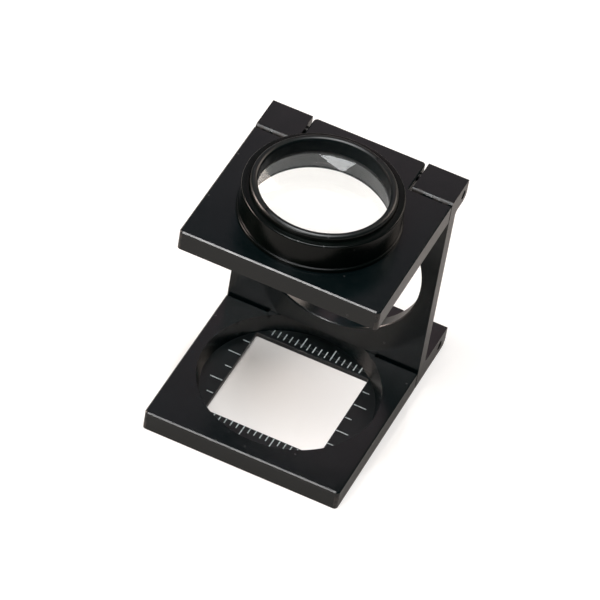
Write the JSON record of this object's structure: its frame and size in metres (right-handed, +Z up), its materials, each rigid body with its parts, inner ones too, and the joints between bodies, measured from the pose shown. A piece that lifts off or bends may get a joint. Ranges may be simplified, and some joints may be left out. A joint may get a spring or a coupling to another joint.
{
  "type": "folding linen tester magnifier",
  "caption": "Folding stand magnifier: a lens cell on a hinged plate, held over a base with a graduated square counting window.",
  "frame": {"origin": "on the table, under the middle of the tester's bounding box", "axes": "+Z up, +X to the right, -Y towards the user, the hinges at the +Y end"},
  "size_m": [0.0324, 0.041, 0.0451],
  "materials": {
    "black_paint": "satin black paint over die-cast metal",
    "scale_black": "matt black with white graduation",
    "black_anodised": "black anodised, turned",
    "lens_glass": "polished optical glass",
    "pin_steel": "blackened steel pin"
  },
  "bodies": {
    "base": {"base_plate": "black_paint", "scale_plate": "scale_black"},
    "upright": {"upright_frame": "black_paint", "upper_hinge_pin_left": "pin_steel", "upper_hinge_pin_right": "pin_steel", "lower_hinge_pin_left": "pin_steel", "lower_hinge_pin_right": "pin_steel"},
    "lens_head": {"lens_plate": "black_paint", "lens_barrel": "black_anodised", "retaining_ring": "black_anodised", "upper_lens": "lens_glass", "lens_spacer": "black_anodised", "lower_lens": "lens_glass"}
  },
  "joints": [
    {"name": "lower_hinge", "type": "hinge", "parent": "base", "child": "upright", "pos_m": [0, 0.01795, 0.0018], "axis": [-1, 0, 0], "range_deg": [0, 270]},
    {"name": "upper_hinge", "type": "hinge", "parent": "upright", "child": "lens_head", "pos_m": [0, 0.01395, 0.0374], "axis": [-1, 0, 0], "range_deg": [0, 270]}
  ]
}
